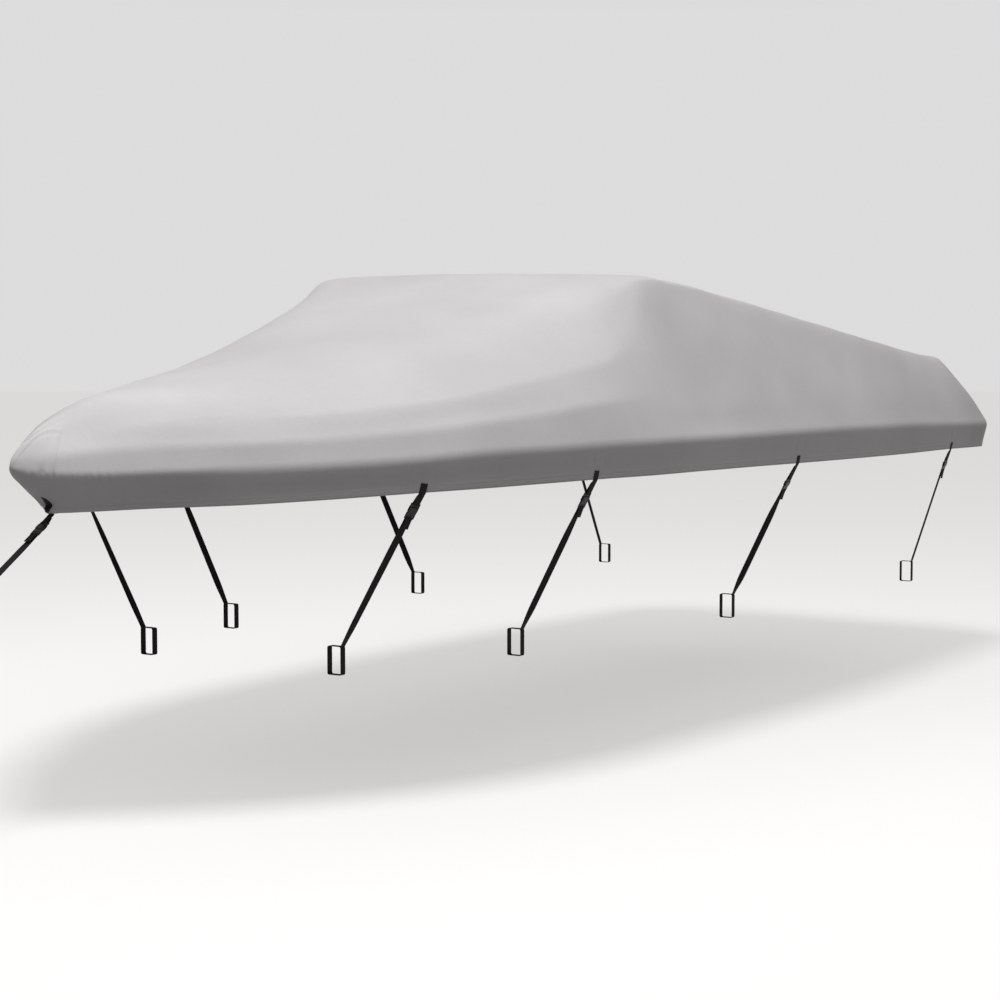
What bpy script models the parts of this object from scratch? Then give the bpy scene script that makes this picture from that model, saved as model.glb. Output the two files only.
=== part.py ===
"""Fitted trailering cover for a runabout: one cloth canopy and nine tie-down sets.

The canopy is a single cloth that bags the whole deck, from the stem to the transom, and ends in a
tucked-in hem under the gunwale.  Each tie-down set is a sewn webbing tab, a side-release buckle in
two halves and a webbing strap whose sewn loop goes round a trailer rail.  A crescent of webbing
reinforces the cloth's bow corner, where the ninth tab is sewn inside the hem.

Stations are metres aft of the bow tip, half-breadths are metres from the centreline, and heights
are metres above the ground that the trailer stands on.  The finished part is shifted so that its
origin lies on the underside of the cloth, in the middle of the windshield's top edge:
+X runs aft, +Y to starboard and +Z up.
"""
import math

import bmesh
import bpy
import numpy as np
from mathutils import Matrix, Vector

COLLECTION = "boat_cover"

# ---- the canopy -------------------------------------------------------------------------------
CLOTH = 0.002                 # thickness of the canopy's cloth
TOP_STATION = 2.46            # the windshield's top edge
TOP_HEIGHT = 1.801            # top of the cloth there
TOP_LEAN = 0.014              # rise of the windshield's starboard corner, and drop of its port one
TOP_HALF = 0.75               # half-breadth of those corners
LEAN_REACH = 0.45             # how far along the boat that lean is felt
LEAN_FOOT, LEAN_RISE = 1.32, 0.40   # the lean fades in over this rise above this height

# A row per section.  "cells" is the number of mesh cells up to the next section.
SECTION_COLUMNS = (
    "station", "cells", "crown_z", "shoulder_y", "shoulder_z", "knee_y", "knee_z",
    "hip_y", "hip_z", "edge_y", "edge_z", "hem_y", "hem_z")
SECTIONS = (
    (0.00, 2, 1.239, 0.000, 1.214, 0.000, 1.183, 0.000, 1.155, 0.000, 1.115, 0.000, 0.978),
    (0.05, 2, 1.262, 0.016, 1.238, 0.030, 1.198, 0.043, 1.158, 0.055, 1.102, 0.030, 0.979),
    (0.17, 2, 1.300, 0.050, 1.280, 0.100, 1.228, 0.152, 1.175, 0.185, 1.096, 0.126, 0.984),
    (0.31, 2, 1.333, 0.100, 1.313, 0.215, 1.248, 0.288, 1.184, 0.330, 1.103, 0.245, 0.991),
    (0.51, 3, 1.368, 0.160, 1.350, 0.345, 1.262, 0.460, 1.192, 0.500, 1.111, 0.455, 1.000),
    (0.78, 2, 1.410, 0.240, 1.388, 0.535, 1.277, 0.630, 1.203, 0.675, 1.122, 0.640, 1.012),
    (1.00, 2, 1.443, 0.305, 1.419, 0.661, 1.300, 0.760, 1.221, 0.806, 1.134, 0.771, 1.023),
    (1.23, 3, 1.482, 0.375, 1.456, 0.759, 1.328, 0.860, 1.245, 0.903, 1.149, 0.870, 1.030),
    (1.50, 3, 1.544, 0.455, 1.518, 0.825, 1.370, 0.932, 1.270, 0.985, 1.156, 0.953, 1.037),
    (1.80, 3, 1.620, 0.550, 1.602, 0.865, 1.418, 0.975, 1.302, 1.036, 1.162, 1.006, 1.041),
    (2.05, 3, 1.688, 0.620, 1.680, 0.875, 1.462, 0.976, 1.314, 1.058, 1.164, 1.030, 1.041),
    (2.25, 3, 1.748, 0.690, 1.744, 0.835, 1.560, 0.983, 1.320, 1.070, 1.166, 1.042, 1.042),
    (2.40, 2, 1.792, 0.730, 1.781, 0.782, 1.735, 0.986, 1.322, 1.077, 1.167, 1.049, 1.043),
    (2.50, 2, 1.800, 0.742, 1.790, 0.782, 1.750, 0.989, 1.322, 1.082, 1.167, 1.054, 1.043),
    (2.69, 3, 1.788, 0.750, 1.780, 0.788, 1.728, 1.005, 1.322, 1.092, 1.169, 1.064, 1.044),
    (3.10, 3, 1.748, 0.785, 1.723, 0.830, 1.673, 1.037, 1.320, 1.120, 1.173, 1.092, 1.045),
    (3.70, 3, 1.686, 0.815, 1.646, 0.865, 1.599, 1.040, 1.315, 1.115, 1.173, 1.087, 1.043),
    (4.30, 3, 1.619, 0.825, 1.576, 0.880, 1.529, 1.032, 1.305, 1.100, 1.171, 1.072, 1.042),
    (4.85, 2, 1.556, 0.825, 1.516, 0.880, 1.472, 1.018, 1.289, 1.082, 1.161, 1.054, 1.044),
    (5.12, 0, 1.524, 0.830, 1.488, 0.885, 1.448, 1.010, 1.279, 1.070, 1.157, 1.042, 1.042),
)
LEVELS = ("hem", "edge", "hip", "knee", "shoulder", "crown")
# Where each level meets the stem: metres aft of the bow tip
STEM_SETBACK = {"hem": 0.148, "edge": 0.0, "hip": 0.004, "knee": 0.018, "shoulder": 0.042,
                "crown": 0.075}
STEM_FADE = 0.60              # station where the setback has faded out
# A row per level of the transom: its station, its height in the middle and its corners' radius
TRANSOM = {
    "hem": (5.480, 1.035, 0.22),
    "edge": (5.500, 1.148, 0.25),
    "hip": (5.435, 1.280, 0.24),
    "knee": (5.350, 1.442, 0.20),
    "shoulder": (5.320, 1.478, 0.16),
    "crown": (5.245, 1.512, 0.00),
}
TRANSOM_BULGE = 0.02          # how far the cloth bellies out behind the transom's middle
TRANSOM_EASE = 0.7            # exponent of the levels' rise from the corner to the middle
CORNER_CELLS, TRANSOM_CELLS = 4, 5
# Rounding of each level's crease (reach along the cloth), and cells of its arc and of the leg below
ROUNDING = {"edge": (0.02, 2, 3), "hip": (0.06, 2, 1), "knee": (0.08, 2, 1),
            "shoulder": (0.14, 3, 2)}
CROWN_CELLS = 4
LEG_SHARE = 0.48              # the most of a leg that one rounding may use

# ---- the tie-down sets ------------------------------------------------------------------------
WEBBING = 0.0015              # thickness of the webbing
WEBBING_WIDTH = 0.025
SEAT = 0.0003                 # gap between pieces that touch
TAB_RISE = 0.032              # how far up the canopy a tab is sewn
TAB_REACH = 0.020             # half the length of hem that sets a tab's direction
TAB_RETURN = 0.012            # from the hem to the end of the tab's leg behind the buckle
TAIL = 0.036                  # free end of the strap, in front of the buckle's plug
TAIL_LIFT = 0.004             # how far that end stands off the plug's face
RUN_CELLS = 4                 # cells along the strap's straight run
RAIL_WIDTH, RAIL_DEPTH = 0.050, 0.090   # the trailer rail inside a strap's loop
RAIL_TOP = 0.500
RAIL_SLACK = 0.002            # gap between the loop and the rail
LOOP_RADIUS, LOOP_CELLS = 0.006, 2      # the loop's rounded corners
# Each strap's station, the rail's half-breadth and the drop from hem to where the halves meet
STRAPS = {"1": (1.02, 0.450, 0.078), "2": (1.73, 0.694, 0.089), "3": (3.12, 0.809, 0.103),
          "4": (4.855, 0.866, 0.086)}
BOW_DIRECTION = (-0.8, 0.0, -0.6)       # the bow strap's pull, forwards and down
BOW_DROP = 0.066              # from the bow tab's bend to the line where its halves meet
BOW_REACH = 0.33              # from the bow tab's bend to the winch post's bar
POST = 0.050                  # the square bar inside the bow strap's loop
BOW_SEWN = 0.022              # length of the bow tab that is sewn inside the stem
BOW_BEND, BOW_BEND_CELLS = 0.003, 4     # radius of the bow tab's bend at the hem
# The crescent round the bow corner: half-width over the cloth, height up the stem, webbing's width
CRESCENT_HALF, CRESCENT_HEIGHT, CRESCENT_WIDTH = 0.028, 0.074, 0.014
CRESCENT_FOOT = 0.002         # from the hem to the crescent
CRESCENT_TURN, CRESCENT_CELLS = math.radians(150), 8    # each horn's turn, and its cells
CRESCENT_TIP = 0.002          # width of a horn's tip
CRESCENT_LIFT = 0.0008        # push off the cloth along its normal, enough to clear the fold

# ---- the 25 mm side-release buckle (x across, y outwards, z up towards the hem) -----------------
BUCKLE_WIDTH = 0.035
SOCKET_LENGTH, SOCKET_THICK = 0.0215, 0.011
SOCKET_BEVEL = 0.0022
FRAME_TOP, FRAME_THICK = 0.0340, 0.0046
SLOT_WIDTH = 0.0272
SOCKET_SLOT = (0.0235, 0.0300)
POCKET_WIDTH, POCKET_THICK, POCKET_DEEP = 0.0280, 0.0064, 0.0175
WINDOW = (0.0060, 0.0165)
PLUG_THICK, PLUG_LENGTH = 0.0050, 0.0240
PLUG_SLOT = (-0.0200, -0.0105)
PRONG_X, PRONG_WIDTH, PRONG_LENGTH, PRONG_THICK = 0.0105, 0.0029, 0.0160, 0.0056
BARB = (0.0070, 0.0155, 0.0156)         # from, to and outer half-width of a prong's barb
GUIDE_WIDTH, GUIDE_LENGTH = 0.0040, 0.0130
JOIN = 0.002                            # how deep one block of a buckle half runs into the next

# ---- colours: linear base colour, roughness ----------------------------------------------------
CANOPY_GREY = ((0.50, 0.49, 0.495), 0.80)
WEBBING_BLACK = ((0.012, 0.011, 0.012), 0.75)
BUCKLE_BLACK = ((0.010, 0.010, 0.011), 0.40)

ORIGIN = np.array([TOP_STATION, 0.0, TOP_HEIGHT - CLOTH])


# ---- scene helpers ----------------------------------------------------------------------------
def clear_scene():
    for obj in list(bpy.data.objects):
        bpy.data.objects.remove(obj, do_unlink=True)
    for name in (COLLECTION, "helpers"):
        collection = bpy.data.collections.new(name)
        bpy.context.scene.collection.children.link(collection)


def material(name, finish):
    colour, roughness = finish
    made = bpy.data.materials.new(name)
    made.use_nodes = True
    shader = made.node_tree.nodes["Principled BSDF"]
    shader.inputs["Base Color"].default_value = (*colour, 1.0)
    shader.inputs["Roughness"].default_value = roughness
    return made


def link(name, mesh, collection=COLLECTION):
    obj = bpy.data.objects.new(name, mesh)
    bpy.data.collections[collection].objects.link(obj)
    return obj


def as_helper(obj):
    """A guide or cutter: not rendered, and shown as wires."""
    obj.hide_render = True
    obj.display_type = "WIRE"
    return obj


def mesh_from_grid(name, grid, close_rows=False):
    """A quad mesh through a (rows, columns, 3) array of points; coinciding points are merged.

    Its faces point along the cross product of the row direction and the column direction.
    """
    rows, columns = grid.shape[:2]
    index = np.arange(rows * columns).reshape(rows, columns)
    if close_rows:
        index = np.vstack((index, index[:1]))
    quads = np.stack((index[:-1, :-1], index[1:, :-1], index[1:, 1:], index[:-1, 1:]), axis=-1)
    mesh = bpy.data.meshes.new(name)
    mesh.from_pydata(grid.reshape(-1, 3).tolist(), [], quads.reshape(-1, 4).tolist())
    shape = bmesh.new()
    shape.from_mesh(mesh)
    bmesh.ops.remove_doubles(shape, verts=shape.verts, dist=1e-5)
    shape.to_mesh(mesh)
    shape.free()
    return mesh


def boolean(obj, other, operation):
    modifier = obj.modifiers.new(operation.lower(), "BOOLEAN")
    modifier.operation = operation
    modifier.object = as_helper(other)
    modifier.solver = "EXACT"


# ---- the canopy's surface ---------------------------------------------------------------------
def smooth_column(at, knots, values, odd):
    """Cubic curve through a table's column, mirrored at the stem (odd: it changes sign there)."""
    knots = np.concatenate(([2 * knots[0] - knots[1]], knots, [2 * knots[-1] - knots[-2]]))
    before = -values[1] if odd else values[1]
    values = np.concatenate(([before], values, [2 * values[-1] - values[-2]]))
    gap = np.diff(knots)
    slope = np.diff(values) / gap
    tangent = (gap[1:] * slope[:-1] + gap[:-1] * slope[1:]) / (gap[1:] + gap[:-1])
    cell = np.clip(np.searchsorted(knots[1:-1], at, side="right") - 1, 0, len(tangent) - 2)
    span = knots[cell + 2] - knots[cell + 1]
    x = (at - knots[cell + 1]) / span
    start, end = values[cell + 1], values[cell + 2]
    return ((2 * x**3 - 3 * x**2 + 1) * start + (x**3 - 2 * x**2 + x) * span * tangent[cell]
            + (3 * x**2 - 2 * x**3) * end + (x**3 - x**2) * span * tangent[cell + 1])


def side_level(level, at=None):
    """Port half of one level from the stem aft: (n, 3) points.  "at" picks single stations."""
    table = {name: np.array(column)
             for name, column in zip(SECTION_COLUMNS, np.array(SECTIONS).T)}
    knots = np.concatenate(([0.0], np.cumsum(np.hypot(np.diff(table["station"]),
                                                      np.diff(table["edge_y"])))))
    if at is None:
        along = [np.linspace(knots[row], knots[row + 1], int(cells) + 1)[:-1]
                 for row, cells in enumerate(table["cells"][:-1])]
        along = np.concatenate(along + [knots[-1:]])
    else:
        along = np.interp(at, table["station"], knots)
    station = smooth_column(along, knots, table["station"], odd=False)
    fade = np.clip(1 - station / STEM_FADE, 0, 1) ** 2
    height = smooth_column(along, knots, table[level + "_z"], odd=False)
    if level == "crown":
        breadth = np.zeros_like(station)
    else:
        breadth = smooth_column(along, knots, table[level + "_y"], odd=True)
    return np.stack((station + STEM_SETBACK[level] * fade, -breadth, height), axis=-1)


def stern_level(level, last):
    """The level goes on round the port corner to the middle of the transom."""
    station, middle_z, radius = TRANSOM[level]
    cells = CORNER_CELLS + 1 + TRANSOM_CELLS
    if level == "crown":
        share = np.arange(1, cells + 1) / cells
        return last + share[:, None] * (np.array([station, 0.0, middle_z]) - last)
    turn = np.linspace(0, math.pi / 2, CORNER_CELLS + 1)
    inner = -last[1] - radius
    across = 1 - np.arange(1, TRANSOM_CELLS + 1) / TRANSOM_CELLS
    x = np.concatenate((station - radius + radius * np.sin(turn), np.full(TRANSOM_CELLS, station)))
    y = np.concatenate((inner + radius * np.cos(turn), inner * across))
    share = y / -last[1]
    x += np.where(x >= station, TRANSOM_BULGE * (1 - share**2), 0)
    z = last[2] + (middle_z - last[2]) * (1 - share) ** TRANSOM_EASE
    return np.stack((x, -y, z), axis=-1)


def rounded_section(points):
    """Hem-to-crown line through one section's six level points, with each crease rounded."""
    line = [points[0]]
    for k, level in enumerate(LEVELS[1:-1], start=1):
        reach, arc_cells, leg_cells = ROUNDING[level]
        below, here, above = points[k - 1], points[k], points[k + 1]
        to_below, to_above = below - here, above - here
        below_length = max(np.linalg.norm(to_below), 1e-9)
        above_length = max(np.linalg.norm(to_above), 1e-9)
        start = here + to_below * min(reach / below_length, LEG_SHARE)
        end = here + to_above * min(reach / above_length, LEG_SHARE)
        foot = line[-1]
        for i in range(1, leg_cells + 1):
            line.append(foot + (start - foot) * i / leg_cells)
        for i in range(1, arc_cells + 1):
            x = i / arc_cells
            line.append((1 - x) ** 2 * start + 2 * x * (1 - x) * here + x * x * end)
    foot, top = line[-1], points[-1]
    for i in range(1, CROWN_CELLS + 1):
        x = i / CROWN_CELLS
        crowned = foot + (top - foot) * x
        crowned[2] += (top[2] - foot[2]) * (x - x * x)
        line.append(crowned)
    return np.array(line)


def leaned(grid):
    """The windshield's top edge stands a little higher to starboard than to port."""
    near = np.exp(-((grid[..., 0] - TOP_STATION) / LEAN_REACH) ** 2)
    rise = np.clip((grid[..., 2] - LEAN_FOOT) / LEAN_RISE, 0, 1)
    leaning = grid.copy()
    leaning[..., 2] += TOP_LEAN * grid[..., 1] / TOP_HALF * near * rise
    return leaning


def canopy_grid():
    """Outer face: rows from the stem round to the transom's middle, columns hem - crown - hem."""
    levels = []
    for level in LEVELS:
        side = side_level(level)
        levels.append(np.vstack((side, stern_level(level, side[-1]))))
    port = np.array([rounded_section(section) for section in np.stack(levels, axis=1)])
    starboard = port[:, -2::-1] * np.array([1.0, -1.0, 1.0])
    return leaned(np.concatenate((port, starboard), axis=1)) - ORIGIN


def thicken(obj, thickness, offset):
    modifier = obj.modifiers.new("thickness", "SOLIDIFY")
    modifier.thickness = thickness
    modifier.offset = offset
    modifier.use_even_offset = True


def build_canopy(grid, cloth):
    mesh = mesh_from_grid("canopy", grid)
    mesh.shade_smooth()
    mesh.materials.append(cloth)
    thicken(link("canopy", mesh), CLOTH, -1.0)


# ---- webbing ----------------------------------------------------------------------------------
def unit(vector):
    vector = np.asarray(vector, float)
    return vector / np.linalg.norm(vector)


def webbing_mesh(name, path, across, closed=False):
    """A flat band swept along a path: "across" is the direction of its width at each point."""
    path = np.array(path, float)
    across = np.array(across, float)
    if closed:
        back, ahead = path - np.roll(path, 1, axis=0), np.roll(path, -1, axis=0) - path
    else:
        step = np.diff(path, axis=0)
        back, ahead = np.vstack((step[:1], step)), np.vstack((step, step[-1:]))
    back = back / np.linalg.norm(back, axis=1, keepdims=True)
    ahead = ahead / np.linalg.norm(ahead, axis=1, keepdims=True)
    tangent = back + ahead
    tangent /= np.linalg.norm(tangent, axis=1, keepdims=True)
    across = across - tangent * (across * tangent).sum(axis=1, keepdims=True)
    across /= np.linalg.norm(across, axis=1, keepdims=True)
    out = np.cross(tangent, across)
    mitre = 1 / np.clip((tangent * back).sum(axis=1, keepdims=True), 0.5, 1)
    side, face = across * WEBBING_WIDTH / 2, out * WEBBING / 2 * mitre
    rim = np.stack((path - side - face, path + side - face, path + side + face,
                    path - side + face), axis=1)
    grid = np.concatenate((rim, rim[:, :1]), axis=1)
    mesh = mesh_from_grid(name, grid, close_rows=closed)
    shape = bmesh.new()
    shape.from_mesh(mesh)
    if not closed:
        bmesh.ops.holes_fill(shape, edges=shape.edges)
    bmesh.ops.recalc_face_normals(shape, faces=shape.faces)
    shape.to_mesh(mesh)
    shape.free()
    return mesh


def rounded_loop(corner, inwards, width, depth):
    """Rectangle that hangs from its top outer corner, with rounded corners, as a closed path.

    Its second point is the middle of the top outer bend, where the strap's run is sewn on.
    """
    inwards, down = np.array(inwards, float), np.array([0.0, 0.0, -1.0])
    path = []
    turns = ((corner, -inwards, -down), (corner + down * depth, down, -inwards),
             (corner + down * depth + inwards * width, inwards, down),
             (corner + inwards * width, -down, inwards))
    for point, first, second in turns:
        centre = point - (first + second) * LOOP_RADIUS
        for i in range(LOOP_CELLS + 1):
            turn = math.pi / 2 * i / LOOP_CELLS
            path.append(centre + LOOP_RADIUS * (second * math.cos(turn) + first * math.sin(turn)))
    return path


# ---- the buckle -------------------------------------------------------------------------------
def box(name, x, y, z, collection="helpers"):
    """Axis-aligned block from (low, high) pairs."""
    low, high = np.array((x, y, z), float).T
    mesh = bpy.data.meshes.new(name)
    shape = bmesh.new()
    bmesh.ops.create_cube(shape, size=1.0)
    centre = Matrix.Translation(Vector((low + high) / 2))
    bmesh.ops.transform(shape, verts=shape.verts,
                        matrix=centre @ Matrix.Diagonal((*(high - low), 1.0)))
    shape.to_mesh(mesh)
    shape.free()
    return link(name, mesh, collection)


def span(width):
    return -width / 2, width / 2


def evaluated_mesh(obj, name):
    """The finished mesh of an object with its modifiers, for its copies to share."""
    graph = bpy.context.evaluated_depsgraph_get()
    mesh = bpy.data.meshes.new_from_object(obj.evaluated_get(graph))
    mesh.name = name
    return mesh


def socket_mesh():
    """Female half: a flat sleeve, open below and at its sides, under a slotted frame."""
    body = box("socket_body", span(BUCKLE_WIDTH), span(SOCKET_THICK), (0, SOCKET_LENGTH))
    bevel = body.modifiers.new("round", "BEVEL")
    bevel.width, bevel.segments = SOCKET_BEVEL, 1
    frame = box("socket_frame", span(BUCKLE_WIDTH), span(FRAME_THICK),
                (SOCKET_LENGTH - SOCKET_BEVEL - JOIN, FRAME_TOP))
    boolean(body, frame, "UNION")
    boolean(body, box("socket_slot", span(SLOT_WIDTH), span(SOCKET_THICK), SOCKET_SLOT),
            "DIFFERENCE")
    boolean(body, box("socket_pocket", span(POCKET_WIDTH), span(POCKET_THICK),
                      (-JOIN, POCKET_DEEP)), "DIFFERENCE")
    boolean(body, box("socket_windows", span(2 * BUCKLE_WIDTH), span(POCKET_THICK), WINDOW),
            "DIFFERENCE")
    return evaluated_mesh(as_helper(body), "buckle_socket")


def plug_mesh():
    """Male half: a slotted bar with two barbed prongs and a middle guide."""
    body = box("plug_body", span(BUCKLE_WIDTH), span(PLUG_THICK), (-PLUG_LENGTH, -SEAT))
    guide = box("plug_guide", span(GUIDE_WIDTH), span(PRONG_THICK), (-JOIN, GUIDE_LENGTH))
    boolean(body, guide, "UNION")
    for side in (-1, 1):
        prong = box("plug_prong", sorted((side * PRONG_X, side * (PRONG_X + PRONG_WIDTH))),
                    span(PRONG_THICK), (-JOIN, PRONG_LENGTH))
        barb = box("plug_barb", sorted((side * PRONG_X, side * BARB[2])), span(PRONG_THICK),
                   BARB[:2])
        boolean(body, prong, "UNION")
        boolean(body, barb, "UNION")
    boolean(body, box("plug_slot", span(SLOT_WIDTH), span(2 * PLUG_THICK), PLUG_SLOT),
            "DIFFERENCE")
    return evaluated_mesh(as_helper(body), "buckle_plug")


# ---- one tie-down set ---------------------------------------------------------------------------
def to_world(frame, points):
    """Buckle coordinates (across, out, up) to part coordinates."""
    origin, across, out, up = frame
    points = np.asarray(points, float)
    return origin + points @ np.stack((across, out, up))


def buckle_frame(hem_point, pull, across, drop):
    """Axes at the line where the halves meet.  The tab's front leg leaves the hem at hem_point."""
    up = -unit(pull)
    across = unit(across - up * np.dot(across, up))
    out = np.cross(up, across)
    front = FRAME_THICK / 2 + SEAT + WEBBING / 2
    return hem_point - up * drop - out * front, across, out, up


def round_bar(half, edge, way):
    """Takes a band from a bar's front to its back, past the bar's edge (way: +1 up, -1 down)."""
    clear = SEAT + WEBBING / 2
    slant = clear * math.cos(math.pi / 4)
    quarter = [(half + clear, 0), (half + slant, slant), (half, clear)]
    return ([(0, out, edge + way * rise) for out, rise in quarter]
            + [(0, -out, edge + way * rise) for out, rise in reversed(quarter)])


def tab_path(frame, drop):
    """From the hem down to the socket's top bar, round it and back up behind."""
    half = FRAME_THICK / 2
    clear = SEAT + WEBBING / 2
    bend = [(0, half + clear, FRAME_TOP), *round_bar(half, SOCKET_SLOT[1], -1),
            (0, -half - clear, FRAME_TOP), (0, half - clear - SEAT, drop - TAB_RETURN)]
    return to_world(frame, bend)


def strap_path(frame, loop_end):
    """Free end, up the plug's front, through its slot, down its back and on to the loop."""
    half = PLUG_THICK / 2
    face = half + SEAT + WEBBING / 2
    bend = [(0, face + TAIL_LIFT, -PLUG_LENGTH - TAIL),
            (0, face + TAIL_LIFT / 4, -PLUG_LENGTH - TAIL / 2),
            (0, face, -PLUG_LENGTH), *round_bar(half, PLUG_SLOT[0], 1), (0, -face, -PLUG_LENGTH)]
    start = to_world(frame, bend)
    share = np.linspace(0, 1, RUN_CELLS + 1)[1:, None]
    return [*start, *(start[-1] + share * (loop_end - start[-1]))]


def place(name, mesh, frame, finish):
    """A copy of a buckle half, its axes turned into the tie-down's frame."""
    origin, across, out, up = frame
    turned = Matrix((across, out, up)).transposed().to_4x4()
    obj = link(name, mesh)
    obj.matrix_world = Matrix.Translation(Vector(origin)) @ turned
    if not mesh.materials:
        mesh.materials.append(finish)
    return obj


def build_strap(name, path, across, loop, loop_across, finish):
    """The strap's run and the sewn loop at its end, joined into one body."""
    strap = link(name, webbing_mesh(name, path, across))
    ring = link(name + "_loop", webbing_mesh(name + "_loop", loop, [loop_across] * len(loop),
                                             closed=True), "helpers")
    boolean(strap, ring, "UNION")
    strap.data.materials.append(finish)


def build_side_set(number, side, buckle, finishes):
    """Tab, buckle and strap at one station; side is -1 to port and +1 to starboard."""
    station, rail_y, drop = STRAPS[number]
    mirror = np.array([1.0, -side, 1.0])
    near = np.array([station - TAB_REACH, station, station + TAB_REACH])
    hem, edge = (side_level(level, near) * mirror - ORIGIN for level in ("hem", "edge"))
    along = unit(hem[2] - hem[0])
    rise = unit(edge[1] - hem[1])
    across = along * side
    hem_point = hem[1] + np.cross(rise, across) * (SEAT + WEBBING / 2)
    clear = RAIL_SLACK + WEBBING / 2
    rail_top = RAIL_TOP - ORIGIN[2]
    corner = np.array([station - ORIGIN[0], side * (rail_y + clear), rail_top + clear])
    frame = buckle_frame(hem_point, corner - hem_point, across, drop)
    label = ("port_" if side < 0 else "starboard_") + number
    tab = [hem_point + rise * TAB_RISE, hem_point, *tab_path(frame, drop)]
    mesh = webbing_mesh("tab_" + label, tab, [across] * 2 + [frame[1]] * (len(tab) - 2))
    mesh.materials.append(finishes["webbing"])
    link("tab_" + label, mesh)
    place("socket_" + label, buckle["socket"], frame, finishes["buckle"])
    place("plug_" + label, buckle["plug"], frame, finishes["buckle"])
    inwards = (0.0, -side, 0.0)
    loop = rounded_loop(corner, inwards, RAIL_WIDTH + 2 * clear, RAIL_DEPTH + 2 * clear)
    path = strap_path(frame, loop[1])
    fore_and_aft = np.array([side, 0.0, 0.0])
    twist = np.concatenate((np.zeros(len(path) - RUN_CELLS),
                            np.linspace(0, 1, RUN_CELLS + 1)[1:]))[:, None]
    widths = frame[1] * (1 - twist) + fore_and_aft * twist
    build_strap("strap_" + label, path, widths, loop, fore_and_aft, finishes["webbing"])


def build_crescent(grid, finish):
    """Webbing round the bow corner: two horns that rise to port and starboard of the stem."""
    leg = ROUNDING["edge"][2]
    stem_length = np.linalg.norm(grid[0, leg] - grid[0, 0])

    def on_band(over, up):
        """Point of the canopy's band: "over" from the stem (starboard +), "up" from the hem."""
        share = up / stem_length * leg
        cell = min(int(share), leg - 1)
        line = grid[:, cell] + (grid[:, cell + 1] - grid[:, cell]) * (share - cell)
        length = np.concatenate(([0], np.cumsum(np.linalg.norm(np.diff(line, axis=0), axis=1))))
        point = np.array([np.interp(abs(over), length, line[:, k]) for k in range(3)])
        return point * (1, -1 if over > 0 else 1, 1)

    rows = []
    half_height = CRESCENT_HEIGHT / 2
    for turn in np.linspace(-CRESCENT_TURN, CRESCENT_TURN, 2 * CRESCENT_CELLS + 1):
        width = max(CRESCENT_WIDTH * math.cos(turn / CRESCENT_TURN * math.pi / 2), CRESCENT_TIP)
        inner = 1 - width / CRESCENT_HALF
        rows.append([on_band(CRESCENT_HALF * scale * math.sin(turn),
                             CRESCENT_FOOT + half_height * (1 - scale * math.cos(turn)))
                     for scale in (inner, 1.0)])
    crescent = link("crescent_bow", mesh_from_grid("crescent_bow", np.array(rows)))
    crescent.data.materials.append(finish)
    push = crescent.modifiers.new("seat", "DISPLACE")
    push.mid_level, push.strength = 0.0, CRESCENT_LIFT
    thicken(crescent, WEBBING, 1.0)


def build_bow_set(grid, buckle, finishes):
    """The bow tab is sewn inside the stem, bends at the hem and pulls forwards and down."""
    hem_point = grid[0, 0]
    across = np.array([0.0, 1.0, 0.0])
    up_stem = unit(grid[0, 1] - hem_point)
    inside = np.cross(across, up_stem)
    to_port = grid[1, 0] - hem_point
    spread = abs(to_port[1]) / (to_port @ inside)
    cloth_and_seat = (CLOTH + SEAT) * math.hypot(1, spread)
    depth = (WEBBING_WIDTH / 2 + cloth_and_seat) / spread + WEBBING / 2
    sewn_end = hem_point + inside * depth
    sewn_end -= up_stem * (sewn_end[2] - hem_point[2]) / up_stem[2]
    pull = unit(BOW_DIRECTION)
    last_turn = math.acos(-up_stem @ pull)
    bend = [sewn_end - inside * BOW_BEND
            + BOW_BEND * (inside * math.cos(turn) - up_stem * math.sin(turn))
            for turn in np.linspace(0, last_turn, BOW_BEND_CELLS + 1)]
    frame = buckle_frame(bend[-1], pull, across, BOW_DROP)
    path = [sewn_end + up_stem * BOW_SEWN, *bend, *tab_path(frame, BOW_DROP)]
    tab = link("tab_bow", webbing_mesh("tab_bow", path, [across] * len(path)))
    tab.data.materials.append(finishes["webbing"])
    place("socket_bow", buckle["socket"], frame, finishes["buckle"])
    place("plug_bow", buckle["plug"], frame, finishes["buckle"])
    corner = bend[-1] + pull * BOW_REACH
    clear = RAIL_SLACK + WEBBING / 2
    loop = rounded_loop(corner, (-1.0, 0.0, 0.0), POST + 2 * clear, POST + 2 * clear)
    path = strap_path(frame, loop[1])
    build_strap("strap_bow", path, [across] * len(path), loop, across, finishes["webbing"])


def main():
    clear_scene()
    finishes = {
        "canopy": material("canopy_cloth", CANOPY_GREY),
        "webbing": material("black_webbing", WEBBING_BLACK),
        "buckle": material("black_acetal", BUCKLE_BLACK),
    }
    grid = canopy_grid()
    build_canopy(grid, finishes["canopy"])
    buckle = {"socket": socket_mesh(), "plug": plug_mesh()}
    for number in STRAPS:
        for side in (-1, 1):
            build_side_set(number, side, buckle, finishes)
    build_crescent(grid, finishes["webbing"])
    build_bow_set(grid, buckle, finishes)


main()
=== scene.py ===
# %% [markdown]
# # A fitted boat cover, dressed over its CAD frame
#
# The cover is one light grey cloth, stretched over the deck and windshield of a small V-hull boat,
# with a turned hem under the gunwale and nine webbing tie-downs.  The boat itself isn't there: the
# cloth keeps the shape that the boat gave it.
#
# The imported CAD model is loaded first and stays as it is.  Each piece made here stands for one of
# its nodes and lies where that node lies: the cloth and the webbing are finer surfaces, and the
# buckle halves are copies with eased edges.  Everything is in metres: +X runs aft, +Y to
# starboard, +Z up, and the origin is under the middle of the windshield's top edge.

# %% The frame
import math

import bmesh
import bpy
import numpy as np
from mathutils import Matrix, Vector


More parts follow.
